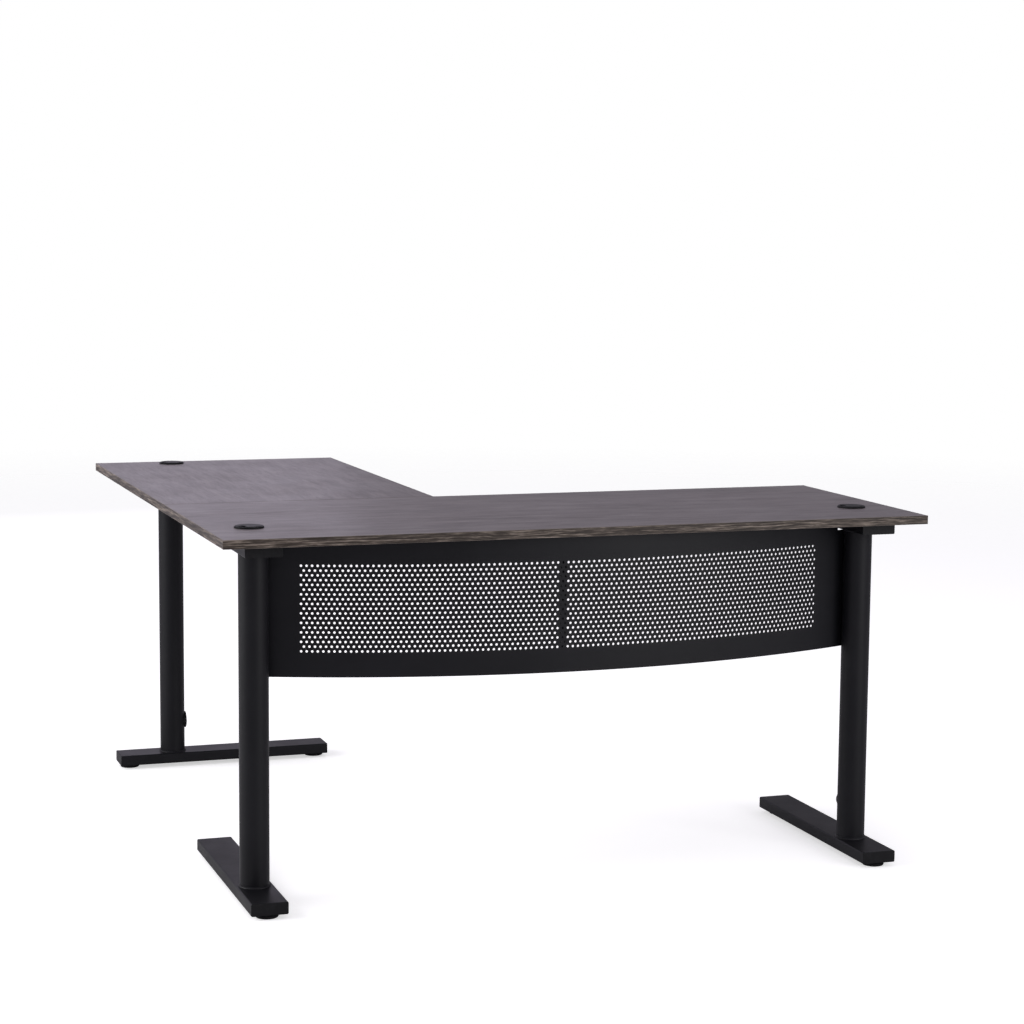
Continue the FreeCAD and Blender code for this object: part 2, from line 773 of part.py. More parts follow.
def make_panel():
    """The bent sheet with a lip along its top and bottom, notched at the top for the arms."""
    body = new_body("modesty_panel")
    outer = PANEL_RADIUS
    back = f"{PANEL_RADIUS} - panel_sheet"
    lip = f"{PANEL_RADIUS} - panel_lip"
    revolve(body, [(outer, "0"), (outer, "panel_height"), (lip, "panel_height"),
                   (lip, "panel_height - panel_sheet"), (back, "panel_height - panel_sheet"),
                   (back, "panel_sheet"), (lip, "panel_sheet"), (lip, "0")],
            f"2*asin({HALF_CHORD} / ({PANEL_RADIUS}))")
    doc.recompute()
    depth = "4*panel_lip"
    end_x = BOW_RADIUS - size("panel_bow") - size(depth) / 2
    for end_y in (-size(HALF_CHORD) - CUT_MARGIN, size(HALF_CHORD) - size("panel_notch_width")):
        slot_box(body, depth, f"panel_notch_width + {CUT_MARGIN}", "panel_notch_height", end_x, end_y,
                 size("panel_height - panel_notch_height"))
    to_front = FreeCAD.Rotation(Z_AXIS, -90)
    return keep(body, "modesty_panel",
                desk(POST_X, PANEL_CENTRE_Y, size("panel_bottom"), to_front))


make_panel()

HALF_ARC = math.radians(END_ANGLE) * BOW_RADIUS
PANEL_MIDDLE_Z = size("panel_bottom + panel_height / 2")
STUD_SPOTS = [(side, PANEL_MIDDLE_Z + step * size("weld_stud_spacing / 2"))
              for side in (-1, 1) for step in (-1, 1)]


def stud_place(side, z, depth):
    """A weld stud's axis: from the back of the sheet towards the bow's centre."""
    arc = side * (HALF_ARC - size("weld_stud_inset"))
    x, y, turn = panel_point(arc, size("panel_sheet") + depth)
    return desk(x, y, z, FreeCAD.Rotation(Z_AXIS, turn).multiply(ALONG_Y))


def make_panel_tabs(label, side, column_x):
    """Flat tabs behind the end of the sheet, one for each weld stud. Each has a block at its
    outer end that is welded to the back of the column."""
    tab_start = min(-side * size("tab_inner_end"), side * size("tab_length - tab_inner_end"))
    block_start = min(side * size("tab_block_start"),
                      side * size("tab_block_start + tab_block_width"))
    tabs = []
    for z in [z for stud_side, z in STUD_SPOTS if stud_side == side]:
        place = stud_place(side, z, size("tab_gap"))
        lowest = -size("tab_height / 2")
        flat = box("tab_length", "tab_height", "tab_thickness",
                   inside(place, tab_start, lowest, 0))
        block = box("tab_block_width", "tab_height", "tab_block_depth",
                    inside(place, block_start, lowest, -size("tab_block_depth")))
        bar = cut(fuse(flat, block), cylinder("stud_hole_radius", "tab_thickness", place))
        post = cylinder("column_radius", "2*tab_height",
                        desk(column_x, COLUMN_Y, z - size("tab_height")))
        tabs.append(cut(bar, post))
    compound = doc.addObject("Part::Compound", label)
    compound.Links = tabs
    return keep(compound, label)


make_panel_tabs("left_panel_tabs", -1, size("leg_inset"))
make_panel_tabs("right_panel_tabs", 1, size("main_length - leg_inset"))


def stud_nut():
    nut = doc.addObject("Part::Prism", "nut")
    nut.Polygon = 6
    bind(nut, "Circumradius", "stud_nut_circumradius")
    bind(nut, "Height", "stud_nut_height")
    return cut(nut, cylinder("stud_nut_bore", "stud_nut_height"))


# A flat end stands this much off the curved sheet, so that its rim does not cut into it.
FLAT_END_GAP = 0.01
FLANGE_GAP = 0.04
NUT_DEPTH = size("tab_gap + tab_thickness")
group("panel_weld_studs", cylinder("weld_stud_radius", "weld_stud_length"),
      [stud_place(side, z, FLAT_END_GAP) for side, z in STUD_SPOTS])
group("panel_stud_nuts", stud_nut(), [stud_place(side, z, NUT_DEPTH) for side, z in STUD_SPOTS])


# ---- centre post that holds the bow --------------------------------------------------------

STANDOFF_Z = (size("panel_bottom + standoff_margin"), PANEL_TOP - size("standoff_margin"))
POST_BACK = POST_Y + size("post_radius")


def make_post():
    """A thin round post under the top, welded to a screw plate."""
    tube = sleeve("post_radius", "post_radius - post_wall",
                  "desk_height - board_thickness - plate_thickness - post_bottom")
    tube.Placement = desk(POST_X, POST_Y, size("post_bottom"))
    plate = box("post_plate_length", "post_plate_width", "plate_thickness",
                desk(POST_X - size("post_plate_length / 2"),
                     POST_Y - size("post_plate_width / 2"), PLATE_Z))
    post = fuse(tube, plate)
    for x, y in POST_SCREW_SPOTS:
        post = cut(post, cylinder("plate_hole_radius", "2*plate_thickness",
                                  desk(x, y, PLATE_Z - CUT_MARGIN)))
    for z in STANDOFF_Z:
        post = cut(post, cylinder("standoff_bore_radius", "4*post_radius",
                                  desk(POST_X, POST_Y - size("2*post_radius"), z, ALONG_Y)))
    return keep(post, "panel_centre_post")


def make_standoffs():
    """Two rods that hold the middle of the sheet away from the post."""
    front = size("panel_front_inset + panel_sheet") + FLANGE_GAP
    rods = []
    for z in STANDOFF_Z:
        place = desk(POST_X, front, z, ALONG_Y)
        rod = cylinder("standoff_radius", str(POST_Y - front), place)
        flange = cylinder("standoff_flange_radius", "standoff_flange", place)
        post = cylinder("post_radius", "6*standoff_radius",
                        desk(POST_X, POST_Y, z - size("3*standoff_radius")))
        thread = cylinder("standoff_bore_radius", "standoff_screw_length",
                          desk(POST_X, POST_BACK, z, AGAINST_Y))
        rods.append(cut(cut(fuse(rod, flange), post), thread))
    compound = doc.addObject("Part::Compound", "panel_standoffs")
    compound.Links = rods
    return keep(compound, "panel_standoffs")


make_post()
make_standoffs()
group("post_screws", WOOD_SCREW, [desk(x, y, PLATE_Z) for x, y in POST_SCREW_SPOTS])
group("standoff_screws", screw("standoff_screw_radius", "standoff_screw_length",
                               "standoff_screw_head_radius", "standoff_screw_head_height"),
      [desk(POST_X, POST_BACK, z, AGAINST_Y) for z in STANDOFF_Z])


# ---- check and export ----------------------------------------------------------------------

doc.recompute()
for thing in doc.Objects:
    if any(word in state for state in thing.State for word in ("Invalid", "Error")):
        raise ValueError(f"{thing.Name} did not recompute: {thing.State}")

os.makedirs("parts", exist_ok=True)
for part in parts:
    if part.Shape.isNull() or not part.Shape.isValid() or not part.Shape.Solids:
        raise ValueError(f"{part.Label} has no valid solid")
for part in parts:
    part.Shape.exportStep(f"parts/{part.Label}.step")
print(f"{len(parts)} sub-parts written")
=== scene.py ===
import json
import math
import random

import bmesh
import bpy
from mathutils import Matrix, Vector


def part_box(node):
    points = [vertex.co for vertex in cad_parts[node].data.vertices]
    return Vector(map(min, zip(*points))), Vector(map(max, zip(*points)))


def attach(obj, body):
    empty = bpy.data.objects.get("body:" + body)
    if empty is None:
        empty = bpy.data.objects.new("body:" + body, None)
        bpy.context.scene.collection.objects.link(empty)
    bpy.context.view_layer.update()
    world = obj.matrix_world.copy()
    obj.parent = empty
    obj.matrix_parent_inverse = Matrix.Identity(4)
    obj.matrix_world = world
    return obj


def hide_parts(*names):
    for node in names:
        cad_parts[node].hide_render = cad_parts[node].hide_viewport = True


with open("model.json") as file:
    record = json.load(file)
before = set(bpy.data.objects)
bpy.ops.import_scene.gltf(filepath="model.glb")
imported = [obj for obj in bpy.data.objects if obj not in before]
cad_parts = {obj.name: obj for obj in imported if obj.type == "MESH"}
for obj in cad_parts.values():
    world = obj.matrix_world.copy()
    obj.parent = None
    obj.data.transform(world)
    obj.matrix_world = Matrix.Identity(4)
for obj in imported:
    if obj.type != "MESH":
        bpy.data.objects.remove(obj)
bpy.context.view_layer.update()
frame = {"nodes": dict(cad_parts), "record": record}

NODES = frame["nodes"]
FRAME_BODY = "desk_frame"
LEGS = ("main_left", "main_right", "return")

# ---- camera --------------------------------------------------------------------------------
# Standing at the visitor side, left of the desk, a little above the tops.

CAMERA_PLACE = Vector((-1.702, -5.2258, 1.360))
CAMERA_YAW = math.radians(18.88)
CAMERA_PITCH = math.radians(6.915)
CAMERA_ROLL = math.radians(0.482)
CAMERA_LENS = 85.0
SENSOR_WIDTH = 36.0
CAMERA_CLIP = (0.05, 100.0)


def make_camera():
    data = bpy.data.cameras.new("camera")
    data.lens = CAMERA_LENS
    data.sensor_width = SENSOR_WIDTH
    data.clip_start, data.clip_end = CAMERA_CLIP
    camera = bpy.data.objects.new("camera", data)
    bpy.context.scene.collection.objects.link(camera)
    ahead = Vector((math.sin(CAMERA_YAW) * math.cos(CAMERA_PITCH),
                    math.cos(CAMERA_YAW) * math.cos(CAMERA_PITCH), -math.sin(CAMERA_PITCH)))
    level = Vector((math.cos(CAMERA_YAW), -math.sin(CAMERA_YAW), 0))
    upright = level.cross(ahead)
    right = level * math.cos(CAMERA_ROLL) + upright * math.sin(CAMERA_ROLL)
    up = upright * math.cos(CAMERA_ROLL) - level * math.sin(CAMERA_ROLL)
    turn = Matrix((right, up, -ahead)).transposed()
    camera.matrix_world = Matrix.Translation(CAMERA_PLACE) @ turn.to_4x4()
    bpy.context.scene.camera = camera


make_camera()

# ---- material helpers ----------------------------------------------------------------------

BEVEL_SAMPLES = 4
# How far the rounded normal may turn from the flat one before the point counts as fully worn.
WORN_TURN = (1.0, 0.86)


class Graph:
    """A material's node tree, with short calls to build it."""

    def __init__(self, name):
        self.material = bpy.data.materials.new(name)
        self.material.use_nodes = True
        self.tree = self.material.node_tree
        self.tree.nodes.clear()
        self.coords = self.node("ShaderNodeTexCoord").outputs["Object"]
        self.shader = self.node("ShaderNodeBsdfPrincipled")
        out = self.node("ShaderNodeOutputMaterial")
        self.tree.links.new(self.shader.outputs[0], out.inputs["Surface"])

    def node(self, kind, **settings):
        made = self.tree.nodes.new(kind)
        for key, value in settings.items():
            setattr(made, key, value)
        return made

    def put(self, socket, value):
        """Links an output to a socket, or sets the socket to a plain value."""
        if isinstance(value, bpy.types.NodeSocket):
            self.tree.links.new(value, socket)
        elif value is not None:
            socket.default_value = value

    def math(self, operation, first, second=None, third=None):
        made = self.node("ShaderNodeMath", operation=operation)
        for socket, value in zip(made.inputs, (first, second, third)):
            self.put(socket, value)
        return made.outputs[0]

    def stretched(self, scale, coords=None, shift=(0, 0, 0)):
        """Coordinates multiplied by a scale for each axis."""
        made = self.node("ShaderNodeMapping")
        self.put(made.inputs["Vector"], coords or self.coords)
        made.inputs["Scale"].default_value = scale
        made.inputs["Location"].default_value = shift
        return made.outputs[0]

    def noise(self, coords, scale=1.0, detail=2.0, roughness=0.5):
        made = self.node("ShaderNodeTexNoise")
        self.put(made.inputs["Vector"], coords)
        made.inputs["Scale"].default_value = scale
        made.inputs["Detail"].default_value = detail
        made.inputs["Roughness"].default_value = roughness
        return made.outputs["Fac"]

    def spread(self, value, low, high, to_low=0.0, to_high=1.0):
        """Maps the range low to high onto another range, and clamps it."""
        made = self.node("ShaderNodeMapRange")
        for key, number in (("Value", value), ("From Min", low), ("From Max", high),
                            ("To Min", to_low), ("To Max", to_high)):
            self.put(made.inputs[key], number)
        return made.outputs["Result"]

    def ramp(self, value, stops):
        """A colour ramp; each stop is a position and a linear RGB colour."""
        made = self.node("ShaderNodeValToRGB")
        self.put(made.inputs["Fac"], value)
        elements = made.color_ramp.elements
        while len(elements) < len(stops):
            elements.new(0.5)
        for element, (position, colour) in zip(elements, stops):
            element.position = position
            element.color = (*colour, 1)
        return made.outputs["Color"]

    def mix(self, share, first, second):
        made = self.node("ShaderNodeMix", data_type="RGBA")
        self.put(made.inputs["Factor"], share)
        colours = [socket for socket in made.inputs if socket.type == "RGBA"]
        for socket, value in zip(colours, (first, second)):
            self.put(socket, (*value, 1) if isinstance(value, tuple) else value)
        return next(socket for socket in made.outputs if socket.type == "RGBA")

    def bump(self, height, distance, strength, normal=None):
        made = self.node("ShaderNodeBump")
        self.put(made.inputs["Height"], height)
        made.inputs["Distance"].default_value = distance
        made.inputs["Strength"].default_value = strength
        self.put(made.inputs["Normal"], normal)
        return made.outputs["Normal"]

    def rounded(self, radius):
        """A normal that rounds the edges, and how near to an edge a point is."""
        bevel = self.node("ShaderNodeBevel", samples=BEVEL_SAMPLES)
        bevel.inputs["Radius"].default_value = radius
        dot = self.node("ShaderNodeVectorMath", operation="DOT_PRODUCT")
        self.put(dot.inputs[0], bevel.outputs[0])
        self.put(dot.inputs[1], self.facing())
        return bevel.outputs[0], self.spread(dot.outputs["Value"], *WORN_TURN)

    def facing(self):
        """The direction that the surface faces."""
        return self.node("ShaderNodeNewGeometry").outputs["Normal"]

    def split(self, vector):
        """The components of a vector, by the name of their axis."""
        made = self.node("ShaderNodeSeparateXYZ")
        self.put(made.inputs[0], vector)
        return made.outputs

    def finish(self, colour, roughness, normal=None, specular=None, ior=None, metallic=None):
        for key, value in (("Base Color", colour), ("Roughness", roughness), ("Normal", normal),
                           ("Specular IOR Level", specular), ("IOR", ior), ("Metallic", metallic)):
            self.put(self.shader.inputs[key], value)
        return self.material


# ---- wood-grain laminate -------------------------------------------------------------------
# Colours are linear. Each layer of noise has a scale on each axis, a detail, a roughness, the
# part of its range that is used, and its share of the tone.

PRINT_LAYERS = (((5.0, 38.0, 38.0), 5.0, 0.74, (0.34, 0.66), 0.42),
                ((11.0, 130.0, 130.0), 4.0, 0.68, (0.32, 0.68), 0.32),
                ((20.0, 560.0, 560.0), 2.0, 0.6, (0.32, 0.68), 0.18))
PRINT_TONES = ((0.0, (0.036, 0.028, 0.029)), (0.30, (0.074, 0.060, 0.063)),
               (0.50, (0.110, 0.091, 0.097)), (0.72, (0.148, 0.125, 0.132)),
               (1.0, (0.208, 0.178, 0.184)))
SWAY_SCALE = (1.6, 7.0, 7.0)
SWAY_ACROSS = 0.045
SWAY_UP = 0.012
PORE_SCALE = (26.0, 1150.0, 1150.0)
PORE_SHIFT = (3.1, 0.7, 0.2)
PORE_RANGE = (0.64, 0.74)
PORE_TONE = -0.30
PORE_HEIGHT = -0.8
FIBRE_HEIGHT = 0.6
FIGURE_SCALE = (0.55, 5.5, 5.5)
FIGURE_SHIFT = (0.3, 1.7, 0.1)
FIGURE_WAVE = {"Scale": 2.2, "Distortion": 5.0, "Detail": 3.0, "Detail Scale": 1.4}
FIGURE_TONE = 0.08
HAZE_RANGE = (0.35, 0.7)
HAZE_SHARE = 0.14
HAZE_COLOUR = (0.135, 0.115, 0.128)
CORE_TONES = ((0.0, (0.13, 0.085, 0.05)), (0.5, (0.33, 0.235, 0.15)), (1.0, (0.50, 0.38, 0.26)))
CORE_ROUGHNESS = 0.9
PRINT_ROUGHNESS = 0.37
SMUDGE_ROUGHNESS = 0.07
GRAIN_ROUGHNESS = -0.05
GRAIN_DEPTH = 0.00012

EDGE_LAYERS = (((17.0, 340.0, 1.0), 3.0, 0.62, (0.40, 0.60), 0.56),
               ((60.0, 800.0, 1.0), 2.0, 0.5, (0.36, 0.64), 0.20),
               ((4.0, 120.0, 1.0), 2.0, 0.5, (0.38, 0.62), 0.24))
EDGE_TONES = ((0.0, (0.010, 0.007, 0.005)), (0.36, (0.034, 0.025, 0.019)),
              (0.62, (0.078, 0.061, 0.049)), (1.0, (0.26, 0.214, 0.176)))
EDGE_SWAY_SCALE = (3.0, 20.0, 1.0)
EDGE_SWAY = 0.012
EDGE_ROUGHNESS = (0.36, 0.50)
END_STRIP_FACING = 0.4
END_STRIP_SHIFT = 3.7
ARRIS_TILT = (0.3, 0.95)
ARRIS_SHARE = 0.45
ARRIS_COLOUR = (0.26, 0.225, 0.20)


def layered(graph, coords, layers):
    """Adds up layers of noise; gives the tone, from 0 to 1, and the noise of each layer."""
    tone = 0.0
    noises = []
    for scale, detail, roughness, used, share in layers:
        noise = graph.noise(graph.stretched(scale, coords), detail=detail, roughness=roughness)
        tone = graph.math("MULTIPLY_ADD", graph.spread(noise, *used), share, tone)
        noises.append(noise)
    return tone, noises


def wood_print(graph, coords):
    """The grain along X of the given coordinates: its tone, from 0 to 1, and its height."""
    sway = graph.noise(graph.stretched(SWAY_SCALE, coords))
    offset = graph.node("ShaderNodeCombineXYZ")
    graph.put(offset.inputs["Y"], graph.math("MULTIPLY", sway, SWAY_ACROSS))
    graph.put(offset.inputs["Z"], graph.math("MULTIPLY", sway, SWAY_UP))
    swayed = graph.node("ShaderNodeVectorMath", operation="ADD")
    graph.put(swayed.inputs[0], coords)
    graph.put(swayed.inputs[1], offset.outputs[0])
    flow = swayed.outputs[0]
    tone, (_, _, fibres) = layered(graph, flow, PRINT_LAYERS)
    pores = graph.noise(graph.stretched(PORE_SCALE, flow, PORE_SHIFT), detail=1.0)
    pore = graph.spread(pores, *PORE_RANGE)
    figure = graph.node("ShaderNodeTexWave", wave_type="RINGS", rings_direction="X",
                        wave_profile="SAW")
    graph.put(figure.inputs["Vector"], graph.stretched(FIGURE_SCALE, flow, FIGURE_SHIFT))
    for key, value in FIGURE_WAVE.items():
        figure.inputs[key].default_value = value
    tone = graph.math("MULTIPLY_ADD", figure.outputs["Fac"], FIGURE_TONE, tone)
    tone = graph.math("MULTIPLY_ADD", pore, PORE_TONE, tone)
    height = graph.math("MULTIPLY", fibres, FIBRE_HEIGHT)
    return tone, graph.math("MULTIPLY_ADD", pore, PORE_HEIGHT, height)


def laminate(name, along_y):
    """Grey-brown wood-grain laminate; drilled holes show the chipboard core."""
    graph = Graph(name)
    turned = graph.node("ShaderNodeMapping")
    graph.put(turned.inputs["Vector"], graph.coords)
    turned.inputs["Rotation"].default_value = (0, 0, math.radians(-90) if along_y else 0)
    tone, height = wood_print(graph, turned.outputs[0])
    haze = graph.noise(graph.coords, scale=3.0, detail=3.0)
    hazy = graph.spread(haze, *HAZE_RANGE, 0.0, HAZE_SHARE)
    printed = graph.mix(hazy, graph.ramp(tone, PRINT_TONES), HAZE_COLOUR)
    chips = graph.noise(graph.coords, scale=260.0, detail=3.0, roughness=0.7)
    core = graph.ramp(graph.spread(chips, 0.3, 0.7), CORE_TONES)
    upright = graph.math("ABSOLUTE", graph.split(graph.facing())["Z"])
    flat = graph.math("GREATER_THAN", upright, 0.5)
    smudge = graph.noise(graph.coords, scale=7.0, detail=4.0, roughness=0.6)
    rough = graph.math("MULTIPLY_ADD", graph.spread(smudge, 0.3, 0.7), SMUDGE_ROUGHNESS,
                       PRINT_ROUGHNESS)
    rough = graph.math("MULTIPLY_ADD", height, GRAIN_ROUGHNESS, rough)
    rough = graph.math("MAXIMUM", rough, graph.math("SUBTRACT", CORE_ROUGHNESS, flat))
    return graph.finish(graph.mix(flat, core, printed), rough,
                        graph.bump(height, GRAIN_DEPTH, 0.6), specular=0.5)


def edge_banding(name):
    """Streaked edge band: the grain runs along each strip, and the arrises are paler."""
    graph = Graph(name)
    facing = graph.split(graph.facing())
    place = graph.split(graph.coords)
    on_end = graph.math("GREATER_THAN", graph.math("ABSOLUTE", facing["X"]),
                        graph.math("MAXIMUM", graph.math("ABSOLUTE", facing["Y"]),
                                   END_STRIP_FACING))
    along = graph.node("ShaderNodeMix", data_type="FLOAT")
    for i, value in ((0, on_end), (2, place["X"]), (3, place["Y"])):
        graph.put(along.inputs[i], value)

    def strip(height):
        """Coordinates along and up a strip, with grain of their own on the end strips."""
        made = graph.node("ShaderNodeCombineXYZ")
        graph.put(made.inputs["X"], along.outputs[0])
        graph.put(made.inputs["Y"], height)
        graph.put(made.inputs["Z"], graph.math("MULTIPLY", on_end, END_STRIP_SHIFT))
        return made.outputs[0]

    sway = graph.noise(graph.stretched(EDGE_SWAY_SCALE, strip(place["Z"])))
    flow = strip(graph.math("MULTIPLY_ADD", sway, EDGE_SWAY, place["Z"]))
    tone, (_, fibres, _) = layered(graph, flow, EDGE_LAYERS)
    tilt = graph.math("ABSOLUTE", facing["Z"])
    arris = graph.math("MULTIPLY", graph.math("GREATER_THAN", tilt, ARRIS_TILT[0]),
                       graph.math("LESS_THAN", tilt, ARRIS_TILT[1]))
    colour = graph.mix(graph.math("MULTIPLY", arris, ARRIS_SHARE), graph.ramp(tone, EDGE_TONES),
                       ARRIS_COLOUR)
    rough = graph.spread(fibres, 0.2, 0.8, *EDGE_ROUGHNESS)
    return graph.finish(colour, rough, graph.bump(fibres, GRAIN_DEPTH, 0.5), specular=0.2)


# ---- metals and plastics -------------------------------------------------------------------

COAT_COLOUR = (0.0062, 0.0062, 0.0078)
WELD_COLOUR = (0.011, 0.011, 0.013)
COAT_ROUGHNESS = 0.42
COAT_GRAIN = 0.00007
WELD_GRAIN = 0.0002
COAT_EDGE = 0.0011
DUST_COLOUR = (0.03, 0.03, 0.034)
# Paler edge colour: partly rubbed coat, partly a painted highlight along the edges.
RUBBED_AND_HIGHLIGHT_COLOUR = (0.05, 0.05, 0.054)
PLASTIC_EDGE = 0.0006
STEEL_EDGE = 0.0004
ZINC_TONES = ((0.0, (0.42, 0.42, 0.40)), (0.45, (0.56, 0.57, 0.58)), (1.0, (0.70, 0.70, 0.68)))
BLACK_ZINC_TONES = ((0.0, (0.030, 0.030, 0.034)), (0.6, (0.055, 0.055, 0.060)),
                    (1.0, (0.09, 0.09, 0.095)))
BARE_STEEL = (0.62, 0.62, 0.62)


def lighter(colour, gain, lift):
    return tuple(value * gain + lift for value in colour)


def powder_coat(name, colour, grain):
    """Satin black powder coat with orange peel, faint dust, and paler edges: rubbed wear plus a
    painted highlight.
    """
    graph = Graph(name)
    normal, edge = graph.rounded(COAT_EDGE)
    peel = graph.noise(graph.coords, scale=620.0)
    lumps = graph.noise(graph.coords, scale=95.0)
    height = graph.math("MULTIPLY_ADD", lumps, 0.7, peel)
    patches = graph.noise(graph.coords, scale=5.5, detail=4.0, roughness=0.62)
    shade = graph.mix(graph.spread(patches, 0.35, 0.72, 0.0, 0.5), colour,
                      lighter(colour, 1.7, 0.002))
    flecks = graph.noise(graph.coords, scale=1700.0, detail=1.0)
    shade = graph.mix(graph.spread(flecks, 0.66, 0.8, 0.0, 0.25), shade, DUST_COLOUR)
    chips = graph.noise(graph.coords, scale=180.0, detail=4.0, roughness=0.7)
    worn_and_highlit = graph.math("MULTIPLY", edge, graph.spread(chips, 0.45, 0.68))
    # Edges turn paler in broken patches: partly rubbed wear, partly a painted edge highlight.
    shade = graph.mix(graph.math("MULTIPLY", worn_and_highlit, 0.40), shade, RUBBED_AND_HIGHLIGHT_COLOUR)
    rough = graph.spread(patches, 0.3, 0.7, COAT_ROUGHNESS - 0.04, COAT_ROUGHNESS + 0.07)
    rough = graph.math("MULTIPLY_ADD", peel, 0.05, rough)
    return graph.finish(shade, rough, graph.bump(height, grain, 0.55, normal),
                        specular=0.36, ior=1.30)


def moulded_plastic(name, colour, roughness, grain_scale, grain):
    """Black moulded plastic with a fine eroded texture."""
    graph = Graph(name)
    normal, edge = graph.rounded(PLASTIC_EDGE)
    texture = graph.noise(graph.coords, scale=grain_scale, detail=3.0, roughness=0.6)
    scuffs = graph.noise(graph.stretched((1.0, 1.6, 0.8)), scale=60.0, detail=5.0, roughness=0.7)
    paler = lighter(colour, 2.4, 0.004)
    shade = graph.mix(graph.spread(scuffs, 0.5, 0.78, 0.0, 0.5), colour, paler)
    shade = graph.mix(graph.math("MULTIPLY", edge, 0.25), shade, paler)
    rough = graph.spread(scuffs, 0.3, 0.75, roughness - 0.03, roughness + 0.1)
    return graph.finish(shade, rough, graph.bump(texture, grain, 0.5, normal),
                        specular=0.35, ior=1.28)


def plated_steel(name, tones):
    """Zinc-plated steel with a cloudy bloom and fine scratches."""
    graph = Graph(name)
    normal, edge = graph.rounded(STEEL_EDGE)
    bloom = graph.noise(graph.coords, scale=140.0, detail=4.0, roughness=0.6)
    shade = graph.ramp(graph.spread(bloom, 0.25, 0.75), tones)
    shade = graph.mix(graph.math("MULTIPLY", edge, 0.35), shade, BARE_STEEL)
    scratches = graph.noise(graph.stretched((900.0, 60.0, 60.0)), detail=3.0)
    rough = graph.spread(bloom, 0.3, 0.75, 0.28, 0.48)
    return graph.finish(shade, rough, graph.bump(scratches, 0.00002, 0.4, normal), metallic=1.0)


MATERIALS = {
    "top_laminate": laminate("laminate_main", False),
    "edge_band": edge_banding("edge_band"),
    "black_powder_coat": powder_coat("powder_coat", COAT_COLOUR, COAT_GRAIN),
    "coated_weld": powder_coat("coated_weld", WELD_COLOUR, WELD_GRAIN),
    "black_plastic": moulded_plastic("end_plastic", (0.006, 0.006, 0.007), roughness=0.46,
                                     grain_scale=900.0, grain=0.00006),
    "glide_plastic": moulded_plastic("glide_plastic", (0.005, 0.005, 0.006), roughness=0.5,
                                     grain_scale=500.0, grain=0.0001),
    "grommet_plastic": moulded_plastic("grommet_plastic", (0.0045, 0.0045, 0.0055),
                                       roughness=0.42, grain_scale=1500.0, grain=0.00002),
    "zinc_steel": plated_steel("zinc_steel", ZINC_TONES),
    "black_screw": plated_steel("black_screw", BLACK_ZINC_TONES),
}
RETURN_LAMINATE = laminate("laminate_return", True)


def cover(piece, material):
    """Gives a whole piece one material."""
    slots = piece.data.materials
    if not slots:
        slots.append(material)
    for i in range(len(slots)):
        slots[i] = material


for part in frame["record"]["subparts"]:
    chosen = MATERIALS[part["material_slot"]]
    cover(NODES[part["node"]], RETURN_LAMINATE if part["node"] == "return_top_board" else chosen)

# ---- pieces made here ----------------------------------------------------------------------

SHARP_ANGLE = math.radians(32)


def add_piece(name, vertices, faces, slot, replaced):
    """Links a mesh that replaces one CAD part, shaded smooth except at real edges."""
    mesh = bpy.data.meshes.new(name)
    mesh.from_pydata(vertices, [], faces)
    mesh.validate()
    mesh.shade_smooth()
    mesh.set_sharp_from_angle(angle=SHARP_ANGLE)
    piece = bpy.data.objects.new(name, mesh)
    bpy.context.scene.collection.objects.link(piece)
    cover(piece, MATERIALS[slot])
    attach(piece, FRAME_BODY)
    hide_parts(replaced)


# ---- perforated modesty panel --------------------------------------------------------------
# The sheet is laid out flat, with S along the bow from its middle and Z up, and then bent.

PANEL_BOW = 0.124
SHEET = 0.0012
LIP = 0.012
NOTCH_WIDTH = 0.0247
NOTCH_HEIGHT = 0.027
HOLE_RADIUS = 0.0025
HOLE_PITCH = 0.01102
ROW_PITCH = HOLE_PITCH * math.sqrt(3) / 2
HOLE_ROWS = 19
HOLES_IN_ROW = 104
MIDDLE_HOLE = 52.15
TOP_ROW_BELOW_EDGE = 0.0558
FIELD_MARGIN = 0.004
EDGE_POINTS = 3
MARGIN_STEP = 0.0095
SAME_HEIGHT = 1e-7
KEYS_PER_METRE = 1e7


def hexagon(s, z):
    """The outline of the cell round one hole, anticlockwise from its top corner."""
    reach = HOLE_PITCH / math.sqrt(3)
    corners = [(s + reach * math.cos(math.radians(a)), z + reach * math.sin(math.radians(a)))
               for a in range(90, 450, 60)]
    points = []
    for (s0, z0), (s1, z1) in zip(corners, corners[1:] + corners[:1]):
        for k in range(EDGE_POINTS):
            share = k / EDGE_POINTS
            points.append((s0 + (s1 - s0) * share, z0 + (z1 - z0) * share))
    return points


def spaced(start, end, step):
    """Even steps from start to end, both included."""
    count = max(1, round(abs(end - start) / step))
    return [start + (end - start) * i / count for i in range(count + 1)]


def grid(columns, rows, skipped=lambda s, z: False):
    """Rectangular cells between sorted columns and rows."""
    cells = []
    for s0, s1 in zip(columns, columns[1:]):
        for z0, z1 in zip(rows, rows[1:]):
            if not skipped((s0 + s1) / 2, (z0 + z1) / 2):
                cells.append([(s0, z0), (s1, z0), (s1, z1), (s0, z1)])
    return cells


def hole_field(top):
    """The outlines of the cells, row by row, and the faces between outlines and round holes."""
    field = []
    cells = []
    for row in range(HOLE_ROWS):
        z = top - TOP_ROW_BELOW_EDGE - row * ROW_PITCH
        shift = 0.5 if row % 2 else 0.0
        places = [(i + shift - MIDDLE_HOLE) * HOLE_PITCH for i in range(HOLES_IN_ROW)]
        field.append([hexagon(s, z) for s in places])
        for s, outline in zip(places, field[-1]):
            count = len(outline)
            hole = [(s + HOLE_RADIUS * math.cos(math.radians(90 + 360 * k / count)),
                     z + HOLE_RADIUS * math.sin(math.radians(90 + 360 * k / count)))
                    for k in range(count)]
            for k in range(count):
                n = (k + 1) % count
                cells.append([outline[k], outline[n], hole[n], hole[k]])
    return field, cells


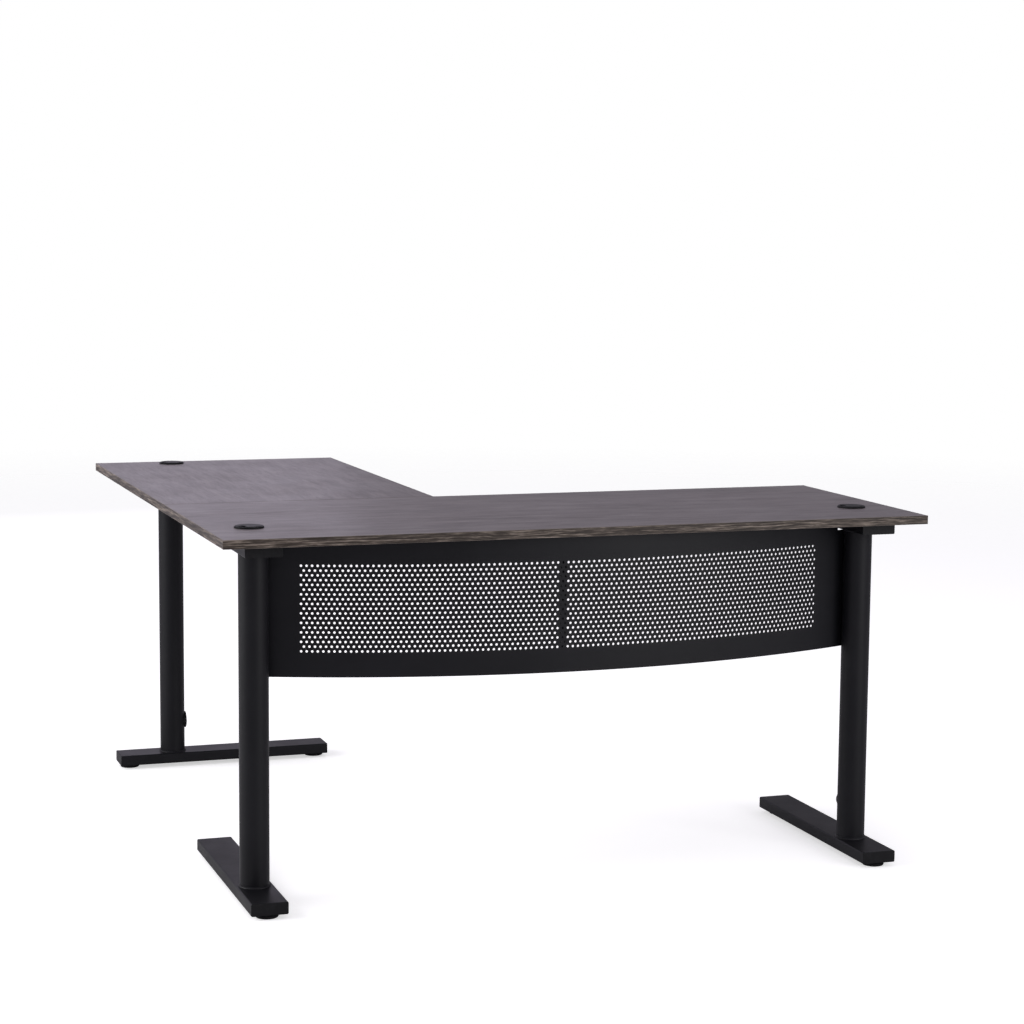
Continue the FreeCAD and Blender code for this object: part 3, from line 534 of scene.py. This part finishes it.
def field_rims(field):
    """The zigzag rims of the field: upper and lower from the left, left and right from the top.

    Corners of an outline: 0 top, 1 upper left, 2 lower left, 3 bottom, 4 and 5 right.
    """
    side = EDGE_POINTS
    upper = []
    lower = []
    for outline in field[0]:
        left_to_top = outline[:side + 1][::-1]
        top_to_right = (outline[5 * side:] + outline[:1])[::-1]
        upper += left_to_top[:-1] + top_to_right[:-1]
    upper.append(field[0][-1][5 * side])
    for outline in field[-1]:
        lower += outline[2 * side:4 * side]
    lower.append(field[-1][-1][4 * side])
    left = []
    right = []
    for row, ring in enumerate(field):
        first, last = ring[0], ring[-1]
        left += first[side:2 * side + 1]
        right += last[4 * side:5 * side + 1][::-1]
        if row + 1 == len(field):
            break
        if row % 2 == 0:
            left += first[2 * side + 1:3 * side]
            right += field[row + 1][-1][5 * side + 1:6 * side][::-1]
        else:
            left += field[row + 1][0][1:side]
            right += last[3 * side + 1:4 * side][::-1]
    return upper, lower, left, right


def panel_layout(half_arc, bottom, top):
    """The flat pattern of the sheet as anticlockwise cells."""
    field, cells = hole_field(top)
    upper, lower, left, right = field_rims(field)
    west = upper[0][0] - FIELD_MARGIN
    east = max(point[0] for point in right) + FIELD_MARGIN
    north = max(point[1] for point in upper) + FIELD_MARGIN
    south = min(point[1] for point in lower) - FIELD_MARGIN
    for a, b in zip(upper, upper[1:]):
        cells.append([a, b, (b[0], north), (a[0], north)])
    for a, b in zip(lower, lower[1:]):
        cells.append([(a[0], south), (b[0], south), b, a])
    for a, b in zip(left, left[1:]):
        cells.append([(west, a[1]), (west, b[1]), b, a])
    for a, b in zip(right, right[1:]):
        cells.append([b, (east, b[1]), (east, a[1]), a])
    cells.append([(west, left[0][1]), left[0], (left[0][0], north), (west, north)])
    cells.append([right[0], (east, right[0][1]), (east, north), (right[0][0], north)])
    cells.append([(west, south), (left[-1][0], south), left[-1], (west, left[-1][1])])
    cells.append([(right[-1][0], south), (east, south), (east, right[-1][1]), right[-1]])
    notch = top - NOTCH_HEIGHT
    cells += grid([west] + [p[0] for p in upper] + [east], [north, notch, top])
    cells += grid([west] + [p[0] for p in lower] + [east], [bottom, south])

    def notched(s, z):
        return abs(s) > half_arc - NOTCH_WIDTH and z > notch

    for edge, points, inner in ((-1, left, west), (1, right, east)):
        rows = [bottom, south] + [p[1] for p in reversed(points)] + [north, notch, top]
        step_in = edge * (half_arc - NOTCH_WIDTH)
        columns = sorted([edge * half_arc] + spaced(step_in, inner, MARGIN_STEP))
        cells += grid(columns, rows, notched)
    return cells


class BentSheet:
    """A steel sheet bent round a bow, with its top and bottom edges folded back as lips."""

    def __init__(self, lo, hi):
        half_chord = (hi.x - lo.x) / 2
        self.radius = (half_chord ** 2 + PANEL_BOW ** 2) / (2 * PANEL_BOW)
        self.half_arc = self.radius * math.asin(half_chord / self.radius)
        self.middle = (hi.x + lo.x) / 2
        self.front = lo.y
        self.bottom, self.top = lo.z, hi.z
        self.vertices = []
        self.index = {}
        self.faces = []

    def vertex(self, s, z, depth):
        """The number of the point at a depth behind the front of the sheet."""
        key = tuple(round(value * KEYS_PER_METRE) for value in (s, z, depth))
        if key not in self.index:
            self.index[key] = len(self.vertices)
            reach = self.radius - depth
            self.vertices.append((self.middle + reach * math.sin(s / self.radius),
                                  self.front + self.radius - reach * math.cos(s / self.radius),
                                  z))
        return self.index[key]

    def lip_at(self, z):
        """The height of the lip that a point is on, or None."""
        return next((lip for lip in (self.top, self.bottom) if abs(z - lip) < SAME_HEIGHT), None)

    def inside(self, lip):
        """The height of a lip's inner face."""
        return lip - SHEET if lip == self.top else lip + SHEET

    def behind(self, s, z):
        """The point on the back of the sheet, inside the lips at the top and bottom."""
        lip = self.lip_at(z)
        return self.vertex(s, z if lip is None else self.inside(lip), SHEET)

    def add_cells(self, cells):
        """Makes the front and back of each cell; gives the edges where the sheet stops."""
        edges = {}
        for cell in cells:
            front = [self.vertex(s, z, 0) for s, z in cell]
            if len(set(front)) < 3:
                continue
            self.faces.append(front)
            self.faces.append([self.behind(s, z) for s, z in reversed(cell)])
            for a, b in zip(cell, cell[1:] + cell[:1]):
                ends = self.vertex(*a, 0), self.vertex(*b, 0)
                if ends[::-1] in edges:
                    del edges[ends[::-1]]
                else:
                    edges[ends] = (a, b)
        return edges

    def add_edges(self, edges):
        """Closes the sheet at its holes and sides, and folds the lips back."""
        lip_ends = {}
        for (start, end), (a, b) in edges.items():
            lip = self.lip_at(a[1])
            if lip is None or self.lip_at(b[1]) != lip:
                self.faces.append([end, start, self.behind(*a), self.behind(*b)])
                continue
            rims = [(self.vertex(s, lip, 0), self.vertex(s, lip, LIP),
                     self.vertex(s, self.inside(lip), LIP), self.behind(s, lip)) for s, _ in (a, b)]
            for k in range(3):
                self.faces.append([rims[1][k], rims[0][k], rims[0][k + 1], rims[1][k + 1]])
            for (s, _), rim in ((a, rims[0]), (b, rims[1][::-1])):
                key = (lip, round(s * KEYS_PER_METRE))
                if key in lip_ends:
                    del lip_ends[key]
                else:
                    lip_ends[key] = rim
        self.faces += [list(rim) for rim in lip_ends.values()]


def make_panel():
    sheet = BentSheet(*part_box("modesty_panel"))
    sheet.add_edges(sheet.add_cells(panel_layout(sheet.half_arc, sheet.bottom, sheet.top)))
    add_piece("perforated_panel", sheet.vertices, sheet.faces, "black_powder_coat",
              "modesty_panel")


make_panel()

# ---- weld beads ----------------------------------------------------------------------------

BEAD_SEED = 7
BEAD_RIPPLES = 40
BEAD_STEPS = 240
BEAD_PROFILE = 7
BEAD_OUT_INSET = 0.0004
BEAD_RISE_INSET = 0.0006
BEAD_DRIFTS = 3
BEAD_DRIFT = (0.0001, 0.0003)
BEAD_DRIFT_WAVES = (3, 9)
BEAD_GROOVE = 0.16
BEAD_FLATNESS = 0.92


def bead_ring(centre, z_root, upward, column_radius, leg, rng):
    """A rippled fillet weld between a column and the flat steel it stands on."""
    vertices = []
    faces = []
    phase = rng.uniform(0, math.tau)
    wobble = [(rng.uniform(*BEAD_DRIFT), rng.randrange(*BEAD_DRIFT_WAVES),
               rng.uniform(0, math.tau)) for _ in range(BEAD_DRIFTS)]
    for i in range(BEAD_STEPS):
        turn = math.tau * i / BEAD_STEPS
        drift = sum(size * math.sin(waves * turn + start) for size, waves, start in wobble)
        ripple = abs(math.sin(BEAD_RIPPLES * turn / 2 + phase))
        for j in range(BEAD_PROFILE):
            share = j / (BEAD_PROFILE - 1)
            out = (leg - BEAD_OUT_INSET + drift) * math.cos(share * math.pi / 2)
            rise = (leg - BEAD_RISE_INSET + drift) * math.sin(share * math.pi / 2)
            swell = 1 - BEAD_GROOVE * (1 - ripple) * math.sin(share * math.pi)
            reach = column_radius + max(out * swell, 0) * BEAD_FLATNESS
            vertices.append((centre.x + reach * math.cos(turn), centre.y + reach * math.sin(turn),
                             z_root + upward * rise * swell))
        vertices.append((centre.x + column_radius * math.cos(turn),
                         centre.y + column_radius * math.sin(turn), z_root))
    ring = BEAD_PROFILE + 1
    for i in range(BEAD_STEPS):
        n = (i + 1) % BEAD_STEPS
        for j in range(ring):
            k = (j + 1) % ring
            face = [i * ring + j, n * ring + j, n * ring + k, i * ring + k]
            faces.append(face if upward > 0 else face[::-1])
    return vertices, faces


def make_weld_beads():
    rng = random.Random(BEAD_SEED)
    for leg in LEGS:
        lo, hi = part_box(leg + "_weld_beads")
        column_lo, column_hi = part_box(leg + "_column")
        centre = (lo + hi) / 2
        column_radius = (column_hi.x - column_lo.x) / 2
        size = (hi.x - lo.x) / 2 - column_radius
        vertices = []
        faces = []
        for z_root, upward in ((lo.z, 1), (hi.z, -1)):
            points, polygons = bead_ring(centre, z_root, upward, column_radius, size, rng)
            base = len(vertices)
            vertices += points
            faces += [[index + base for index in polygon] for polygon in polygons]
        add_piece(leg + "_rippled_welds", vertices, faces, "coated_weld", leg + "_weld_beads")


make_weld_beads()

# ---- screws --------------------------------------------------------------------------------
# Shares of the head or shank, except for the number of points in a ring.

SCREW_POINTS = 48
RECESS_REACH = 0.56
RECESS_HALF_WIDTH = 0.15
RECESS_DEPTH = 0.62
RECESS_FLOOR = 0.55
RECESS_RIM = 0.99
HEAD_SHARES = (0.62, 0.80, 0.92, 0.98, 1.0)
HEAD_RIM = 0.35
THREAD_PITCH = 0.30
THREAD_DEPTH = 0.14
THREAD_LENGTH = 0.85
THREAD_STEPS_A_TURN = 6
TIP_RADIUS = 0.5
TIP_START = 0.96


def solid_boxes(name):
    """The boxes round the separate solids of one CAD part."""
    mesh = bmesh.new()
    mesh.from_mesh(NODES[name].data)
    mesh.transform(NODES[name].matrix_world)
    bmesh.ops.remove_doubles(mesh, verts=mesh.verts, dist=1e-6)
    boxes = []
    seen = set()
    for start in mesh.verts:
        if start in seen:
            continue
        seen.add(start)
        solid = [start]
        for vertex in solid:
            for edge in vertex.link_edges:
                other = edge.other_vert(vertex)
                if other not in seen:
                    seen.add(other)
                    solid.append(other)
        points = [vertex.co.copy() for vertex in solid]
        boxes.append((Vector([min(p[i] for p in points) for i in range(3)]),
                      Vector([max(p[i] for p in points) for i in range(3)])))
    mesh.free()
    return boxes


def cross_reach(turn):
    """How far the outline of a cross recess is from its middle, as a share of the head."""
    across = max(abs(math.cos(turn)), 1e-6)
    upward = max(abs(math.sin(turn)), 1e-6)
    level_arm = min(RECESS_REACH / across, RECESS_HALF_WIDTH / upward)
    upright_arm = min(RECESS_REACH / upward, RECESS_HALF_WIDTH / across)
    return max(level_arm, upright_arm)


def ring(radius_at, z):
    """A ring of points whose radius depends on the turn round the screw."""
    turns = [math.tau * k / SCREW_POINTS for k in range(SCREW_POINTS)]
    return [(radius_at(a) * math.cos(a), radius_at(a) * math.sin(a), z) for a in turns]


def screw_rings(head_radius, head_height, shank_radius, length, spin):
    """Rings from the floor of the recess over the head and down the thread to the tip."""

    def recess(scale):
        return lambda a: scale * head_radius * cross_reach(a - spin)

    rings = [ring(recess(RECESS_FLOOR), -head_height * (1 - RECESS_DEPTH)),
             ring(recess(1.0), -head_height * RECESS_RIM)]
    for share in HEAD_SHARES:
        bulge = HEAD_RIM + (1 - HEAD_RIM) * math.sqrt(1 - share ** 4)
        rings.append(ring(lambda a: head_radius * share, -head_height * bulge))
    rings.append(ring(lambda a: head_radius, 0))
    rings.append(ring(lambda a: shank_radius, 0))
    pitch = shank_radius * THREAD_PITCH * 2
    threaded = length * THREAD_LENGTH
    steps = int(threaded / pitch * THREAD_STEPS_A_TURN)
    for j in range(1, steps + 1):
        z = threaded * j / steps
        crest = math.tau * z / pitch
        rings.append(ring(
            lambda a: shank_radius * (1 - THREAD_DEPTH * (1 + math.cos(a - crest)) / 2), z))
    rings.append(ring(lambda a: shank_radius * TIP_RADIUS, length * TIP_START))
    return rings


def screw_mesh(place, head_radius, head_height, shank_radius, length, spin):
    """A pan-head screw with a cross recess; its shank runs along +Z from the head's seat."""
    rings = screw_rings(head_radius, head_height, shank_radius, length, spin)
    vertices = [(0, 0, -head_height * (1 - RECESS_DEPTH))]
    for points in rings:
        vertices += points
    vertices.append((0, 0, length))
    faces = []
    for k in range(SCREW_POINTS):
        n = (k + 1) % SCREW_POINTS
        faces.append((0, 1 + n, 1 + k))
        for j in range(len(rings) - 1):
            base = 1 + j * SCREW_POINTS
            faces.append((base + k, base + n, base + SCREW_POINTS + n, base + SCREW_POINTS + k))
        base = 1 + (len(rings) - 1) * SCREW_POINTS
        faces.append((base + k, base + n, len(vertices) - 1))
    return [tuple(place @ Vector(point)) for point in vertices], faces


def make_screws(node, slot, shank_radius, head_height, toward):
    """Draws the screws of one CAD part, which point up or forward, with recessed heads."""
    rng = random.Random(node)
    vertices = []
    faces = []
    for lo, hi in solid_boxes(node):
        middle = (lo + hi) / 2
        if toward == "up":
            seat = Vector((middle.x, middle.y, lo.z + head_height))
            length = hi.z - seat.z
            turn = Matrix.Identity(4)
        else:
            seat = Vector((middle.x, hi.y - head_height, middle.z))
            length = seat.y - lo.y
            turn = Matrix.Rotation(math.radians(90), 4, "X")
        points, polygons = screw_mesh(Matrix.Translation(seat) @ turn, (hi.x - lo.x) / 2,
                                      head_height, shank_radius, length,
                                      rng.uniform(0, math.pi / 2))
        base = len(vertices)
        vertices += points
        faces += [tuple(index + base for index in polygon) for polygon in polygons]
    add_piece("recessed_" + node, vertices, faces, slot, node)


make_screws("joining_screws", "zinc_steel", shank_radius=0.002, head_height=0.0025, toward="up")
make_screws("post_screws", "black_screw", shank_radius=0.002, head_height=0.0025, toward="up")
make_screws("arm_screws", "black_screw", shank_radius=0.003, head_height=0.004, toward="up")
make_screws("standoff_screws", "black_screw", shank_radius=0.0025, head_height=0.003,
            toward="forward")

# ---- floor and light -----------------------------------------------------------------------

WHITE = (1.0, 1.0, 1.0)
FLOOR_RADIUS = 12.0
FLOOR_SIDES = 96
FLOOR_DROP = 0.0005
FLOOR_TONES = ((0.0, (0.86, 0.86, 0.86)), (1.0, (0.90, 0.90, 0.90)))
FLOOR_FADE = (3.5, 9.0)
FLOOR_GLOW = 0.55
ROOM_LIGHT = 0.36
ROOM_COLOUR = (0.99, 0.94, 1.07)
# Each soft box has a name, a place, the point it faces, a width, a height, a power and a colour.
SOFT_BOXES = (
    ("overhead", (-0.3, -0.6, 4.4), (0.0, -0.1, 0.7), 3.2, 3.2, 40.0, WHITE),
    ("left", (-4.2, 0.4, 1.9), (0.0, 0.1, 0.5), 3.4, 3.2, 132.0, WHITE),
    ("front_right", (2.6, -4.8, 1.5), (0.0, -0.6, 0.45), 2.6, 2.4, 100.0, WHITE),
    ("behind", (-0.9, 5.6, 1.7), (-0.4, 0.2, 0.75), 4.4, 2.6, 20.0, (0.98, 0.90, 1.10)),
)


def make_floor():
    """A pale round floor that fades into the white surroundings well away from the desk."""
    mesh = bpy.data.meshes.new("floor")
    turns = [math.tau * i / FLOOR_SIDES for i in range(FLOOR_SIDES)]
    rim = [(FLOOR_RADIUS * math.cos(a), FLOOR_RADIUS * math.sin(a), 0) for a in turns]
    mesh.from_pydata(rim, [], [tuple(range(FLOOR_SIDES))])
    floor = bpy.data.objects.new("floor", mesh)
    floor.location.z = -FLOOR_DROP
    bpy.context.scene.collection.objects.link(floor)
    graph = Graph("studio_floor")
    dust = graph.noise(graph.coords, scale=1.3, detail=3.0)
    reach = graph.node("ShaderNodeVectorMath", operation="LENGTH")
    graph.put(reach.inputs[0], graph.coords)
    alpha = graph.spread(reach.outputs["Value"], *FLOOR_FADE, 1.0, 0.0)
    graph.put(graph.shader.inputs["Alpha"], alpha)
    seen = graph.node("ShaderNodeLightPath").outputs["Is Camera Ray"]
    graph.put(graph.shader.inputs["Emission Strength"], graph.math("MULTIPLY", seen, FLOOR_GLOW))
    graph.shader.inputs["Emission Color"].default_value = (*WHITE, 1)
    mesh.materials.append(graph.finish(graph.ramp(dust, FLOOR_TONES), 0.9, specular=0.1))


def make_soft_box(name, place, target, width, height, power, colour):
    data = bpy.data.lights.new(name, "AREA")
    data.shape = "RECTANGLE"
    data.size = width
    data.size_y = height
    data.energy = power
    data.color = colour
    light = bpy.data.objects.new(name, data)
    light.location = place
    aim = Vector(target) - Vector(place)
    light.rotation_mode = "QUATERNION"
    light.rotation_quaternion = aim.to_track_quat("-Z", "Y")
    light.visible_camera = False
    bpy.context.scene.collection.objects.link(light)


def make_world():
    """White surroundings, which light the desk with a dimmer and slightly cool grey."""
    world = bpy.data.worlds.new("studio")
    world.use_nodes = True
    tree = world.node_tree
    tree.nodes.clear()
    blend = tree.nodes.new("ShaderNodeMixShader")
    tree.links.new(tree.nodes.new("ShaderNodeLightPath").outputs["Is Camera Ray"], blend.inputs[0])
    for i, (colour, strength) in enumerate(((ROOM_COLOUR, ROOM_LIGHT), (WHITE, 1.0)), start=1):
        background = tree.nodes.new("ShaderNodeBackground")
        background.inputs["Color"].default_value = (*colour, 1)
        background.inputs["Strength"].default_value = strength
        tree.links.new(background.outputs[0], blend.inputs[i])
    out = tree.nodes.new("ShaderNodeOutputWorld")
    tree.links.new(blend.outputs[0], out.inputs["Surface"])
    bpy.context.scene.world = world
    bpy.context.scene.view_settings.view_transform = "Standard"
    bpy.context.scene.view_settings.look = "None"


make_floor()
make_world()
for soft_box in SOFT_BOXES:
    make_soft_box(*soft_box)
